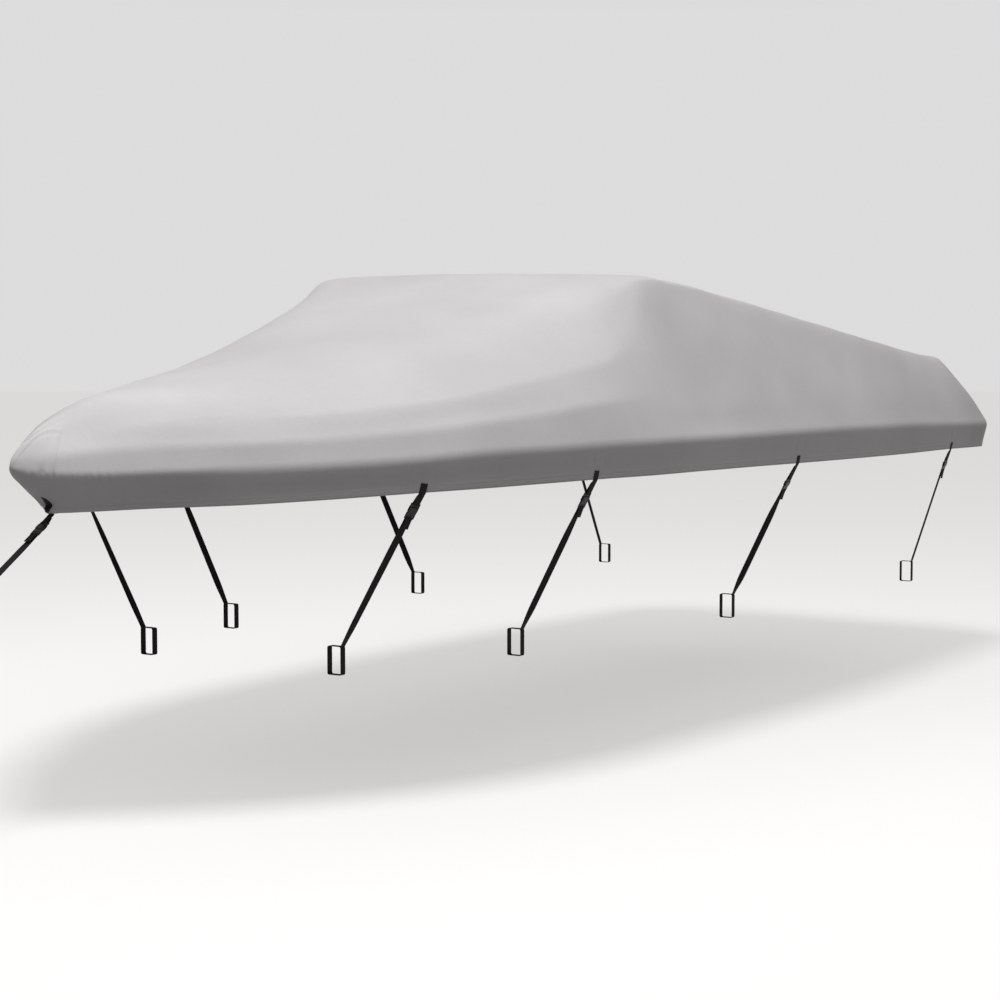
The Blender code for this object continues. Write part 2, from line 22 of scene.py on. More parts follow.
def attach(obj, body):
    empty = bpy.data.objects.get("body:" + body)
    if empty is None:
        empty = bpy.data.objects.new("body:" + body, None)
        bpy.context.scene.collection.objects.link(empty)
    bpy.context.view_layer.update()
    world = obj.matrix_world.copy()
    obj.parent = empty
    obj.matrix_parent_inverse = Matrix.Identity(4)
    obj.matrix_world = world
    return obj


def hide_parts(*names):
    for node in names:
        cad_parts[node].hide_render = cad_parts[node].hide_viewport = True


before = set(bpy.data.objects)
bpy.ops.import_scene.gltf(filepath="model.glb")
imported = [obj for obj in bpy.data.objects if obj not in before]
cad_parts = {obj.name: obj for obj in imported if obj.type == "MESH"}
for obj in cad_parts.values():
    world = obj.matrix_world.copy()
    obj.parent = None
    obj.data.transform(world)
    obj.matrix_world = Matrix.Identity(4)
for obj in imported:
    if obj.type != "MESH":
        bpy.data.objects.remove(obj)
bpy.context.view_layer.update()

print("CAD nodes:", len(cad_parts))

# %% [markdown]
# ## The camera
#
# A camera can be placed by eye, or worked out from a few known lengths.  Here it is worked out: a
# point to stand on, a heading in plan and a small pitch down, so that the side of the boat shrinks
# towards the stern as it does to someone standing off its port bow.

# %% Camera
EYE = Vector((-6.60, -4.56, -0.379))
HEADING = Vector((0.829, 0.559, 0.0))
PITCH = math.radians(3.75)
LENS, SENSOR = 72.0, 36.0


def add_camera(eye, heading, pitch, lens):
    """Looks along the heading, tipped down by the pitch."""
    data = bpy.data.cameras.new("view")
    data.lens, data.sensor_width = lens, SENSOR
    data.clip_end = 500.0
    camera = bpy.data.objects.new("view", data)
    look = heading.normalized() * math.cos(pitch) - Vector((0, 0, 1)) * math.sin(pitch)
    camera.location = eye
    camera.rotation_euler = look.to_track_quat("-Z", "Y").to_euler()
    bpy.context.scene.collection.objects.link(camera)
    bpy.context.scene.camera = camera
    return camera


camera = add_camera(EYE, HEADING, PITCH, LENS)
print("camera at", tuple(round(c, 2) for c in camera.location))

# %% [markdown]
# ## Meshes from whole arrays
#
# Every new surface is a grid of points, a function of two parameters that numpy works out for all
# of them at once.  One helper joins the neighbours with quads and writes a UV map in metres, so
# that a weave can follow the cloth.

# %% Grid helper
def grid_quads(rows, columns, closed):
    """Four corners for each cell of a grid, counted row by row; the last column of a closed grid
    is joined to the first."""
    index = np.arange(rows * columns).reshape(rows, columns)
    if closed:
        index = np.hstack((index, index[:, :1]))
    return np.stack((index[:-1, :-1], index[1:, :-1], index[1:, 1:], index[:-1, 1:]),
                    axis=-1).reshape(-1, 4)


def make_mesh(points, uv=None, marks=(), closed=False):
    """A mesh from a grid of points; uv holds one pair for each point, and each of the marks, by
    its name, one number for each point."""
    quads = grid_quads(*points.shape[:2], closed)
    mesh = bpy.data.meshes.new("surface")
    mesh.from_pydata(points.reshape(-1, 3).tolist(), [], quads.tolist())
    if uv is not None:
        corners = np.zeros(len(mesh.loops), dtype=np.int32)
        mesh.loops.foreach_get("vertex_index", corners)
        layer = mesh.uv_layers.new(name="cloth")
        layer.data.foreach_set("uv", uv.reshape(-1, 2)[corners].ravel())
    for mark, values in dict(marks).items():
        layer = mesh.attributes.new(mark, "FLOAT", "POINT")
        layer.data.foreach_set("value", values.astype(np.float32).ravel())
    mesh.shade_smooth()
    return mesh


def edited(mesh, *steps):
    """Opens the mesh for editing, takes it through each step, and closes it again."""
    shape = bmesh.new()
    shape.from_mesh(mesh)
    for step in steps:
        step(shape)
    shape.to_mesh(mesh)
    shape.free()
    return mesh


def weld(shape, distance=1e-5):
    """Joins points that coincide, such as the columns that meet at a pole or a seam."""
    bmesh.ops.remove_doubles(shape, verts=shape.verts, dist=distance)


def add_piece(name, mesh, finish):
    mesh.name = name
    mesh.materials.append(finish)
    piece = bpy.data.objects.new(name, mesh)
    bpy.context.scene.collection.objects.link(piece)
    return piece


def dress(name, mesh, finish, cad_name):
    """Adds a piece that stands for a CAD node and rides on the one body."""
    piece = add_piece(name, mesh, finish)
    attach(piece, "root")
    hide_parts(cad_name)
    return piece


def unit(vector):
    vector = np.asarray(vector, float)
    return vector / np.linalg.norm(vector, axis=-1, keepdims=True)


print("a grid of 3 by 4 points has", len(grid_quads(3, 4, closed=False)), "cells")

# %% [markdown]
# ## The form of the stretched cloth
#
# A fitted cover could be draped by simulation, but this one is strapped tight: its shape is that of
# the boat under it, with soft creases over the hip of the side and along the windshield.  So it is
# lofted.  A table gives six levels of the port side at twenty stations, a cubic curve runs through
# each level from the stem to the stern, and every section is a line from the hem to the crown whose
# corners are rounded by short parabolas.

# %% The section table
TOP_STATION, TOP_HEIGHT = 2.46, 1.801       # the windshield's top edge
CLOTH, WEBBING, WEBBING_WIDTH, SEAT = 0.002, 0.0015, 0.025, 0.0003
ORIGIN = np.array([TOP_STATION, 0.0, TOP_HEIGHT - CLOTH])
GROUND = -float(ORIGIN[2])

SECTION_COLUMNS = (
    "station", "crown_z", "shoulder_y", "shoulder_z", "knee_y", "knee_z",
    "hip_y", "hip_z", "edge_y", "edge_z", "hem_y", "hem_z")
SECTIONS = (
    (0.00, 1.212, 0.000, 1.190, 0.000, 1.164, 0.000, 1.143, 0.000, 1.115, 0.000, 0.978),
    (0.05, 1.236, 0.016, 1.213, 0.030, 1.180, 0.043, 1.150, 0.055, 1.102, 0.030, 0.979),
    (0.17, 1.281, 0.050, 1.262, 0.100, 1.216, 0.152, 1.171, 0.185, 1.096, 0.126, 0.984),
    (0.31, 1.322, 0.100, 1.303, 0.215, 1.243, 0.288, 1.184, 0.330, 1.103, 0.245, 0.991),
    (0.51, 1.363, 0.160, 1.345, 0.345, 1.262, 0.460, 1.192, 0.500, 1.111, 0.455, 1.000),
    (0.78, 1.410, 0.240, 1.388, 0.535, 1.277, 0.630, 1.203, 0.675, 1.122, 0.640, 1.012),
    (1.00, 1.443, 0.305, 1.419, 0.661, 1.300, 0.760, 1.221, 0.806, 1.134, 0.771, 1.023),
    (1.23, 1.482, 0.375, 1.456, 0.759, 1.328, 0.860, 1.245, 0.903, 1.149, 0.870, 1.030),
    (1.50, 1.544, 0.455, 1.518, 0.825, 1.370, 0.932, 1.270, 0.985, 1.156, 0.953, 1.037),
    (1.80, 1.620, 0.550, 1.602, 0.865, 1.418, 0.975, 1.302, 1.036, 1.162, 1.006, 1.041),
    (2.05, 1.688, 0.620, 1.680, 0.875, 1.462, 0.976, 1.314, 1.058, 1.164, 1.030, 1.041),
    (2.25, 1.748, 0.690, 1.744, 0.835, 1.560, 0.983, 1.320, 1.070, 1.166, 1.042, 1.042),
    (2.40, 1.792, 0.730, 1.781, 0.782, 1.735, 0.986, 1.322, 1.077, 1.167, 1.049, 1.043),
    (2.50, 1.800, 0.742, 1.790, 0.782, 1.750, 0.989, 1.322, 1.082, 1.167, 1.054, 1.043),
    (2.69, 1.788, 0.750, 1.780, 0.788, 1.728, 1.005, 1.322, 1.092, 1.169, 1.064, 1.044),
    (3.10, 1.748, 0.785, 1.723, 0.830, 1.673, 1.037, 1.320, 1.120, 1.173, 1.092, 1.045),
    (3.70, 1.686, 0.815, 1.646, 0.865, 1.599, 1.040, 1.315, 1.115, 1.173, 1.087, 1.043),
    (4.30, 1.619, 0.825, 1.576, 0.880, 1.529, 1.032, 1.305, 1.100, 1.171, 1.072, 1.042),
    (4.85, 1.556, 0.825, 1.516, 0.880, 1.472, 1.018, 1.289, 1.082, 1.161, 1.054, 1.044),
    (5.12, 1.524, 0.830, 1.488, 0.885, 1.448, 1.010, 1.279, 1.070, 1.157, 1.042, 1.042),
)
TABLE = {name: np.array(column) for name, column in zip(SECTION_COLUMNS, np.array(SECTIONS).T)}
LEVELS = ("hem", "edge", "hip", "knee", "shoulder", "crown")
STEM_SETBACK = {"hem": 0.148, "edge": 0.0, "hip": 0.004, "knee": 0.018, "shoulder": 0.042,
                "crown": 0.075}
STEM_FADE = 0.60
TRANSOM = {"hem": (5.480, 1.035, 0.22), "edge": (5.500, 1.148, 0.25), "hip": (5.435, 1.280, 0.24),
           "knee": (5.350, 1.442, 0.20), "shoulder": (5.320, 1.478, 0.16),
           "crown": (5.245, 1.512, 0.00)}
TRANSOM_BULGE, TRANSOM_EASE = 0.02, 0.7
# The tie-downs of each side: the station, how far from the middle the rail's outer face lies, and
# how far below the hem the halves of the buckle meet
STRAPS = {"1": (1.02, 0.450, 0.078), "2": (1.73, 0.694, 0.089), "3": (3.12, 0.809, 0.103),
          "4": (4.855, 0.866, 0.086)}
TAB_STATIONS = [station for station, rail_y, drop in STRAPS.values()]
print("sections:", len(SECTIONS), "and tie-downs of each side:", len(STRAPS))

# %% The levels along the boat
KNOTS = np.concatenate(([0.0], np.cumsum(np.hypot(np.diff(TABLE["station"]),
                                                  np.diff(TABLE["edge_y"])))))


def smooth_column(at, values, odd=False):
    """Cubic curve through a table's column: each stretch is the Hermite blend of its two ends and
    the slopes there.  At the stem the column is mirrored, and an odd one changes its sign."""
    knots = np.concatenate(([2 * KNOTS[0] - KNOTS[1]], KNOTS, [2 * KNOTS[-1] - KNOTS[-2]]))
    before = -values[1] if odd else values[1]
    values = np.concatenate(([before], values, [2 * values[-1] - values[-2]]))
    gap = np.diff(knots)
    slope = np.diff(values) / gap
    tangent = (gap[1:] * slope[:-1] + gap[:-1] * slope[1:]) / (gap[1:] + gap[:-1])
    cell = np.clip(np.searchsorted(knots[1:-1], at, side="right") - 1, 0, len(tangent) - 2)
    span = knots[cell + 2] - knots[cell + 1]
    x = (at - knots[cell + 1]) / span
    start, end = values[cell + 1], values[cell + 2]
    return ((2 * x**3 - 3 * x**2 + 1) * start + (x**3 - 2 * x**2 + x) * span * tangent[cell]
            + (3 * x**2 - 2 * x**3) * end + (x**3 - x**2) * span * tangent[cell + 1])


def side_level(level, along):
    """Port line of one level from the stem aft, as points (aft, across, up) above the ground."""
    station = smooth_column(along, TABLE["station"])
    fade = np.clip(1 - station / STEM_FADE, 0, 1) ** 2
    height = smooth_column(along, TABLE[level + "_z"])
    if level == "crown":
        breadth = np.zeros_like(station)
    else:
        breadth = smooth_column(along, TABLE[level + "_y"], odd=True)
    return np.stack((station + STEM_SETBACK[level] * fade, -breadth, height), axis=-1)


def stern_level(level, last, share):
    """The level goes on round the port corner to the middle of the transom, where the share is 1:
    a tenth of it is the straight run to the corner, four tenths the quarter circle, and half the
    transom, which bulges a little."""
    station, middle_z, radius = TRANSOM[level]
    if level == "crown":
        return last + share[:, None] * (np.array([station, 0.0, middle_z]) - last)
    ahead = np.clip(share / 0.1, 0, 1)
    turn = np.clip((share - 0.1) / 0.4, 0, 1) * math.pi / 2
    across = np.clip((share - 0.5) / 0.5, 0, 1)
    inner = -last[1] - radius
    x = last[0] + ahead * (station - radius - last[0]) + radius * np.sin(turn)
    y = (inner + radius * np.cos(turn)) - across * inner
    out = y / -last[1]
    x += TRANSOM_BULGE * (1 - out**2) * np.sin(turn) ** 8
    z = last[2] + (middle_z - last[2]) * (1 - out) ** TRANSOM_EASE
    return np.stack((x, -y, z), axis=-1)


STERN_ROWS = 56
BOW_ENDS, BOW_BLEND, TAB_ZONE = 0.42, 0.05, 0.045       # where the rows stand closer


def station_run(station):
    """How far along the gunwale a station lies."""
    return np.interp(station, TABLE["station"], KNOTS)


def uneven_rows(longest, bow, tab):
    """Places along the gunwale, closer together at the bow and at the tie-downs: the steps per
    metre are summed along the boat, and the sum is read back at whole numbers."""
    fine = np.linspace(0, KNOTS[-1], 4000)
    step = 1 / longest + (1 / bow - 1 / longest) / (1 + np.exp((fine - BOW_ENDS) / BOW_BLEND))
    for place in station_run(TAB_STATIONS):
        step += (1 / tab - 1 / longest) * np.exp(-((fine - place) / TAB_ZONE) ** 4)
    rows = np.concatenate(([0], np.cumsum((step[1:] + step[:-1]) / 2 * np.diff(fine))))
    return np.interp(np.linspace(0, rows[-1], int(rows[-1])), rows, fine)


along = uneven_rows(longest=0.030, bow=0.0065, tab=0.0095)
astern = np.linspace(0, 1, STERN_ROWS + 1)[1:]
levels = np.stack([np.vstack((side_level(level, along),
                              stern_level(level, side_level(level, along)[-1], astern)))
                   for level in LEVELS], axis=1)
print("level lines:", levels.shape)

# %% [markdown]
# ## Rounding the creases
#
# Cloth can't turn a sharp corner under tension: it goes over the gunwale and the windshield's edge
# in a small curve.  Between two curves it is pulled straight.  Each corner of a section is replaced
# by a parabola that touches both of its sides, which is quick to work out for all sections at once.

# %% The sections
def even(cells):
    """The ends of so many equal steps from 0 to 1."""
    return np.arange(1, cells + 1) / cells


# The first leg's columns stand closer at the turned hem
HEM_COLUMNS = np.array([0.05, 0.12, 0.165, 0.19, 0.22, 0.27, 0.33, 0.39, 0.45, 0.52, 0.60, 0.70,
                        0.80, 0.90, 1.0])
# Per level: how far the curve reaches along the cloth, its cells, and the columns of the leg below
ROUNDING = {"edge": (0.02, 8, HEM_COLUMNS), "hip": (0.06, 6, even(8)),
            "knee": (0.08, 8, even(6)), "shoulder": (0.14, 8, even(4))}
# Over the foredeck the cloth is stretched over the boat's own corners, and creases harder
FORWARD_REACH = {"hip": 0.018, "knee": 0.020}
FORWARD_ENDS, AFT_BEGINS = 2.05, 2.45
LEG_SHARE = 0.48
CROWN_CELLS = 14
TOP_LEAN, TOP_HALF, LEAN_REACH = 0.014, 0.75, 0.45
LEAN_FOOT, LEAN_RISE = 1.32, 0.40


def port_sections(corners):
    """Straight leg, parabola, leg, parabola ... for every section at once, ending in the crown's
    arch.  A parabola from s to e with its corner at c is (1-t)^2 s + 2t(1-t) c + t^2 e."""
    foot = corners[:, 0]
    line = [foot[:, None]]
    for k, level in enumerate(LEVELS[1:-1], start=1):
        reach, arc_cells, shares = ROUNDING[level]
        here = corners[:, k]
        aft = np.clip((here[:, :1] - FORWARD_ENDS) / (AFT_BEGINS - FORWARD_ENDS), 0, 1)
        reach = reach * aft + FORWARD_REACH.get(level, reach) * (1 - aft)
        to_below, to_above = corners[:, k - 1] - here, corners[:, k + 1] - here
        below = np.maximum(np.linalg.norm(to_below, axis=1, keepdims=True), 1e-9)
        above = np.maximum(np.linalg.norm(to_above, axis=1, keepdims=True), 1e-9)
        start = here + to_below * np.minimum(reach / below, LEG_SHARE)
        end = here + to_above * np.minimum(reach / above, LEG_SHARE)
        line.append(foot[:, None] + (start - foot)[:, None] * shares[None, :, None])
        t = even(arc_cells)[None, :, None]
        line.append((1 - t) ** 2 * start[:, None] + 2 * t * (1 - t) * here[:, None]
                    + t * t * end[:, None])
        foot = end
    top = corners[:, -1]
    t = even(CROWN_CELLS)[None, :, None]
    crown = foot[:, None] + (top - foot)[:, None] * t
    crown[..., 2] += (top[:, 2] - foot[:, 2])[:, None] * (t - t * t)[..., 0]
    line.append(crown)
    return np.concatenate(line, axis=1)


def leaned(points):
    """The windshield's top edge stands a little higher to starboard than to port."""
    near = np.exp(-((points[..., 0] - TOP_STATION) / LEAN_REACH) ** 2)
    rise = np.clip((points[..., 2] - LEAN_FOOT) / LEAN_RISE, 0, 1)
    leaning = points.copy()
    leaning[..., 2] += TOP_LEAN * points[..., 1] / TOP_HALF * near * rise
    return leaning


def to_part(points):
    return leaned(points) - ORIGIN


port = port_sections(levels)
HALF = port.shape[1]
sections = np.concatenate((port, port[:, -2::-1] * np.array([1.0, -1.0, 1.0])), axis=1)
skin = to_part(sections)
print("cloth grid:", skin.shape)

# %% [markdown]
# ## Measuring along the cloth
#
# The weave, the hem's stitches and the folds are all placed by distances on the cloth, not in
# space.  "Girth" is the distance up from the hem, and "run" the distance aft along the gunwale.

# %% Run and girth
def lengths_along(points, axis):
    """Running sum of the steps between neighbours along one direction of the grid."""
    step = np.linalg.norm(np.diff(points, axis=axis), axis=-1)
    first = np.zeros_like(np.take(step, [0], axis=axis))
    return np.concatenate((first, np.cumsum(step, axis=axis)), axis=axis)


girth = lengths_along(skin[:, :HALF], axis=1)
girth = np.concatenate((girth, girth[:, -2::-1]), axis=1)
run_line = lengths_along(levels[:, 1], axis=0)
run = np.repeat(run_line[:, None], skin.shape[1], axis=1)

# %% [markdown]
# ## Hem, seams and folds
#
# A cover this tight has few folds: a turned hem, two seams that gather the nose, puckers where they
# cross the gunwale, and short pulls above each tie-down.  They could be sculpted or simulated, but
# each is a ridge or groove along a line, so each is a height over run and girth, made of bell
# curves and ripples, and the cloth is pushed along its normals by their sum.

# %% Shapes for the folds
def ease(x):
    """Smooth step from 0 to 1: three squares less two cubes."""
    x = np.clip(x, 0, 1)
    return x * x * (3 - 2 * x)


def bell(distance, width):
    return np.exp(-(distance / width) ** 2)


def profile(distance, bells):
    """A fold's height across its line: a sum of bells, each at its place, so wide and so high."""
    return sum(high * bell(distance - at, wide) for at, wide, high in bells)


edge_girth = np.linalg.norm(levels[:, 1] - levels[:, 0], axis=1)[:, None]
above = girth - edge_girth                  # distance up the cloth from the gunwale
flank = np.where(np.arange(skin.shape[1]) < HALF, 1.0, -1.0)[None, :]
print("gunwale up to", round(float(edge_girth.max()), 3), "m from the hem")

# %% Hem and seams
HEM_DEEP, HEM_STEP, STEP_WIDTH, STEP_ENDS, STEP_FADE = 0.0225, 0.0011, 0.0035, 0.045, 0.05
HEM_STITCH, STITCH_DEEP, STITCH_WIDTH = 0.0195, 0.0006, 0.0022
# Across each seam: the place, width and height of its bells
UPPER_FOLD = ((0.004, 0.006, 0.0014), (-0.008, 0.007, -0.0012))
LOWER_FOLD = ((-0.009, 0.009, 0.0014), (0.004, 0.006, -0.0016), (0.017, 0.006, 0.0005))
# Beside the lower seam: the run of each tuck, its tilt, and its share of the depth
TUCKS = ((0.088, 0.5, 1.0), (0.103, -0.4, 0.8), (0.127, 0.3, 0.7))
RIPPLE_HIGH, TUCK_DEEP, CRINKLE_HIGH = 0.0016, 0.0032, 0.0011


def turned_hem():
    """The hem is doubled: past its upper edge the cloth steps in by one thickness, and comes back
    out before the gunwale.  A row of stitches draws in a groove just below the step."""
    step = ease((girth - HEM_DEEP) / STEP_WIDTH) * (1 - ease((girth - STEP_ENDS) / STEP_FADE))
    return -HEM_STEP * step - STITCH_DEEP * bell(girth - HEM_STITCH, STITCH_WIDTH)


# The upper seam leaves the stem at the gunwale and levels off; the lower one climbs from the
# gunwale to its end.  These are the distances from each
upper_seam = above - 0.168 * (1 - np.exp(-(run / 0.062) ** 1.15))
climb = np.clip(above, -0.02, None)
lower_seam = run - (0.124 + 0.30 * climb + 1.1 * climb**2)


def nose_seams():
    """Two seams on each side, each a groove beside a narrow ridge."""
    length = 1 - ease((run - 0.17) / 0.05)
    height = ease((above + 0.03) / 0.03) * (1 - ease((above - 0.14) / 0.05))
    return profile(upper_seam, UPPER_FOLD) * length + profile(lower_seam, LOWER_FOLD) * height


def gunwale_puckers():
    """Ripples across the gunwale, gathered by the seams: they die out aft and away from it, and
    three deeper tucks stand beside the lower seam."""
    wander = 1.3 * np.sin(2 * math.pi * run / 0.113) + 9.0 * above * flank
    ripple = 0.6 * np.sin(2 * math.pi * run / 0.0225 + wander) + 0.4 * np.sin(
        2 * math.pi * run / 0.034 + 0.7 - wander)
    near = bell(above + 0.004, 0.022) * ease(run / 0.05) * (1 - ease((run - 0.22) / 0.30))
    tucks = sum(deep * bell(run - place - tilt * above, 0.0055) * bell(above - 0.004, 0.016)
                for place, tilt, deep in TUCKS)
    return RIPPLE_HIGH * ripple * near - TUCK_DEEP * tucks


def stem_crinkles():
    """Short crinkles that fan out from the patch at the foot of the stem."""
    reach = np.hypot(run, girth - 0.030)
    fan = np.arctan2(girth - 0.030, run)
    near = ease((reach - 0.034) / 0.012) * (1 - ease((reach - 0.055) / 0.05))
    return CRINKLE_HIGH * np.sin(9 * fan + 1.0) * near


print("hem", HEM_DEEP * 1000, "mm deep")

# %% Pulls above the tie-downs
TAB_RISE, TAB_MASK, PULL_HIGH = 0.032, 0.016, 0.0009
RIDGE_HIGH, WAVE_HIGH, HOLLOW_DEEP, NOTCH_DEEP = 0.0016, 0.0007, 0.0018, 0.034


def tie_down_pulls():
    """Above each tab the cloth is drawn into short folds that fan out of the tab's two corners, and
    the hem between two tabs hangs in a hair's breadth less.  Under the tab itself it stays flat."""
    height = np.zeros_like(girth)
    for place in station_run(TAB_STATIONS):
        middle = np.interp(place, along, run[:along.size, 0])
        off = run - middle
        for corner, phase in ((-1, 0.4), (1, 1.1)):
            x, y = off - corner * WEBBING_WIDTH / 2, girth - TAB_RISE
            reach, fan = np.hypot(x, y), np.arctan2(x, y)
            fade = ease((reach - 0.010) / 0.02) * (1 - ease((reach - 0.035) / 0.075))
            pull = np.cos(5.5 * fan + phase) * fade * bell(fan - corner * 0.35, 0.9)
            height += PULL_HIGH * pull
        under = (1 - ease((np.abs(off) - TAB_MASK) / 0.012)) * (1 - ease((girth - 0.040) / 0.012))
        height *= 1 - under
    return height


def long_tensions():
    """Faint long folds of a stretched cloth: a ridge along the foredeck's corner, and slow waves a
    few tenths of a millimetre high that lean aft as they rise."""
    ridge = bell(above - 0.239 - 0.088 * (run - 0.69), 0.012) * bell(run - 0.86, 0.20)
    lean = run - 0.55 * girth * flank
    waves = (np.sin(2 * math.pi * lean / 0.37 + 1.7 * np.sin(2 * math.pi * girth / 0.9))
             + 0.8 * np.sin(2 * math.pi * (lean + 0.6 * girth) / 0.61 + 0.9))
    free = ease((above - 0.03) / 0.12) * ease((run - 0.25) / 0.3) * ease((run_line[-1] - run) / 0.5)
    return RIDGE_HIGH * ridge + WAVE_HIGH * waves * free


def corner_hollows():
    """A shallow hollow aft of each corner of the windshield, where the cloth spans a gap."""
    return -HOLLOW_DEEP * bell(run - 2.87, 0.10) * bell(above - 0.50, 0.08)


def stem_notch():
    """How far aft the stem gives way above its foot: the hem is drawn in round the towing eye, so
    the cloth dips in just above the hem and comes back out before the gunwale."""
    up = ease((girth - 0.012) / 0.030) * (1 - ease((girth - 0.065) / 0.065))
    return NOTCH_DEEP * up * (1 - ease(run / 0.095))


def pushed(points, height):
    """Moves each point along the surface's normal: the cross product of its two grid directions."""
    down_rows, across_columns = np.gradient(points, axis=0), np.gradient(points, axis=1)
    normal = unit(np.cross(down_rows, across_columns) + 1e-12)
    outwards = np.sign((normal * (points - points.mean(axis=(0, 1)))).sum())
    return points + normal * outwards * height[..., None]


relief = turned_hem() + nose_seams() + gunwale_puckers() + stem_crinkles() + tie_down_pulls()
relief += long_tensions() + corner_hollows()
relief *= ease(run / 0.012)                 # the stem's own line takes only the notch
dressed = pushed(skin, relief)
dressed[:1] = skin[:1]
dressed[..., 0] += stem_notch()
print("relief from", round(relief.min() * 1000, 1), "to", round(relief.max() * 1000, 1), "mm")

# %% Painted light and shade
# Soft blooms of painted light and shade in the cloth's colour: the height is measured from the
# gunwale, and climbs with the run
BLOOM_COLUMNS = ("run", "above", "climb", "reach", "height", "change")
BLOOMS = {
    "nose": (0.17, 0.12, 0.0, 0.16, 0.10, 0.15),
    "foredeck": (0.66, 0.42, 0.0, 0.32, 0.12, 0.11),
    "bow_flank": (0.63, 0.145, 0.0, 0.16, 0.05, -0.09),
    "forward_flank": (1.45, 0.172, 0.063, 0.50, 0.04, -0.09),
    "gunwale": (1.20, 0.060, 0.0, 0.40, 0.04, -0.06),
    "band": (1.05, -0.060, 0.0, 0.50, 0.05, -0.13),
    "windshield": (2.53, 0.52, 0.0, 0.25, 0.25, 0.06),
    "aft_top": (3.10, 0.52, -0.19, 0.50, 0.09, 0.06),
    "aft_flank": (2.94, 0.092, 0.0, 0.40, 0.04, -0.08),
    "quarter": (5.10, 0.200, 0.0, 0.50, 0.12, -0.07),
    "corner": (5.60, 0.080, 0.0, 0.24, 0.20, -0.16)}


def painted_light_and_shade():
    """Painted light and shade, as a factor on the cloth's colour: 1, and the sum of the blooms,
    each a bell both ways.
    """
    painted_tone = np.ones_like(girth)
    for bloom in BLOOMS.values():
        at = dict(zip(BLOOM_COLUMNS, bloom))
        off = run - at["run"]
        rise = above - (at["above"] + at["climb"] * off)
        painted_tone += at["change"] * bell(off, at["reach"]) * bell(rise, at["height"])
    return painted_tone


painted_tone = painted_light_and_shade()
print("tone from", round(painted_tone.min(), 2), "to", round(painted_tone.max(), 2))

# %% [markdown]
# ## Finishes
#
# One function turns hex colours to the linear values that Blender works in, and one adds a node
# with its settings and links.  The rest are patterns that a finish is put together from.

# %% Colours and nodes
def linear(hex_colour):
    """sRGB to linear: a straight line near black, and a power of 2.4 above it."""
    value = np.array([int(hex_colour[i:i + 2], 16) for i in (1, 3, 5)]) / 255
    value = np.where(value <= 0.04045, value / 12.92, ((value + 0.055) / 1.055) ** 2.4)
    return (*value.tolist(), 1.0)


def feed(made, inputs):
    """Gives each input, by name or number, a value or a link from another node's output."""
    for key, value in inputs.items():
        if isinstance(value, bpy.types.NodeSocket):
            made.id_data.links.new(value, made.inputs[key])
        else:
            made.inputs[key].default_value = value


def node(tree, kind, *values, output=0, **settings):
    """Adds a node and returns one of its outputs.  The values go to its inputs in order, and each
    setting to its input or property; a kind in capitals is an operation of the Math node."""
    made = tree.nodes.new("ShaderNode" + ("Math" if kind.isupper() else kind))
    if kind.isupper():
        made.operation = kind
    for name, value in settings.items():
        if name in made.inputs:
            feed(made, {name: value})
        else:
            setattr(made, name, value)
    feed(made, dict(enumerate(values)))
    return made.outputs[output]


def shaded(ramp, *stops):
    """Gives a ramp its stops, each a place and a colour."""
    elements = ramp.node.color_ramp.elements
    while len(elements) < len(stops):
        elements.new(0.5)
    for element, (place, colour) in zip(elements, stops):
        element.position, element.color = place, colour
    return ramp


def weighted(tree, total, *terms):
    """Adds to a total so much of each pattern."""
    for pattern, share in terms:
        total = node(tree, "MULTIPLY_ADD", pattern, share, total)
    return total


def streaks(tree, uv, across, along, detail=2.0):
    """Noise stretched over the cloth: so many streaks to the metre one way and the other."""
    place = node(tree, "Mapping", uv, Scale=(across, along, 1.0))
    return node(tree, "TexNoise", place, Scale=1.0, Detail=detail)


STITCH, THREAD_SHARE, THREAD_HALF = 0.0045, 0.68, 0.0006


def stitch_row(tree, off, along):
    """1 on the thread, 0 off it: close to the row, for two thirds of each stitch."""
    near = node(tree, "LESS_THAN", node(tree, "ABSOLUTE", off), THREAD_HALF)
    dash = node(tree, "FRACT", node(tree, "DIVIDE", along, STITCH))
    return node(tree, "MULTIPLY", near, node(tree, "LESS_THAN", dash, THREAD_SHARE))


def new_material(name):
    made = bpy.data.materials.new(name)
    made.use_nodes = True
    tree = made.node_tree
    return made, tree, tree.nodes["Principled BSDF"]


print("cloth grey in linear values:", [round(c, 3) for c in linear("#bab7b8")[:3]])

# %% Woven polyester cloth
# Which distance each row of stitches follows, and where on it the row lies
STITCH_ROWS = {"hem_top": ("girth", HEM_STITCH), "hem_foot": ("girth", 0.0040),
               "upper_seam": ("upper_seam", 0.0045), "lower_seam": ("lower_seam", 0.0045)}


